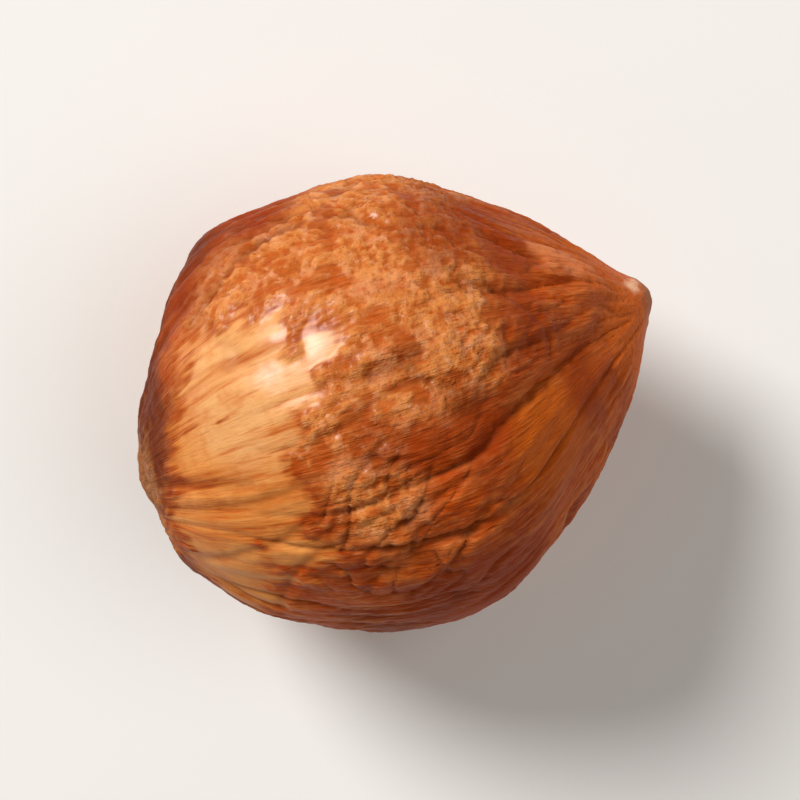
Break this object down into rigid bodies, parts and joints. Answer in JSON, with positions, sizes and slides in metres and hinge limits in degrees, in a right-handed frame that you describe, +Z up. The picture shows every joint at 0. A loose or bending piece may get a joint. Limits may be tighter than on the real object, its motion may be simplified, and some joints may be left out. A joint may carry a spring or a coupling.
{
  "type": "shelled hazelnut kernel",
  "caption": "Whole shelled hazelnut kernel in its brown skin: blunt oval with a conical tip and nib, seams, long wrinkles and a round base scar, lying on its side.",
  "frame": {"origin": "middle of the small flat spot that the kernel rests on, under its weight", "axes": "+X from the round base to the pointed tip, +Z up from the surface it lies on, +Y to the side with the raised shoulder"},
  "size_m": [0.0163, 0.0136, 0.0128],
  "materials": {
    "skin": "dry papery brown skin, matt and corky in patches, satin where it is smooth"
  },
  "bodies": {
    "root": {"kernel": "skin"}
  },
  "joints": []
}
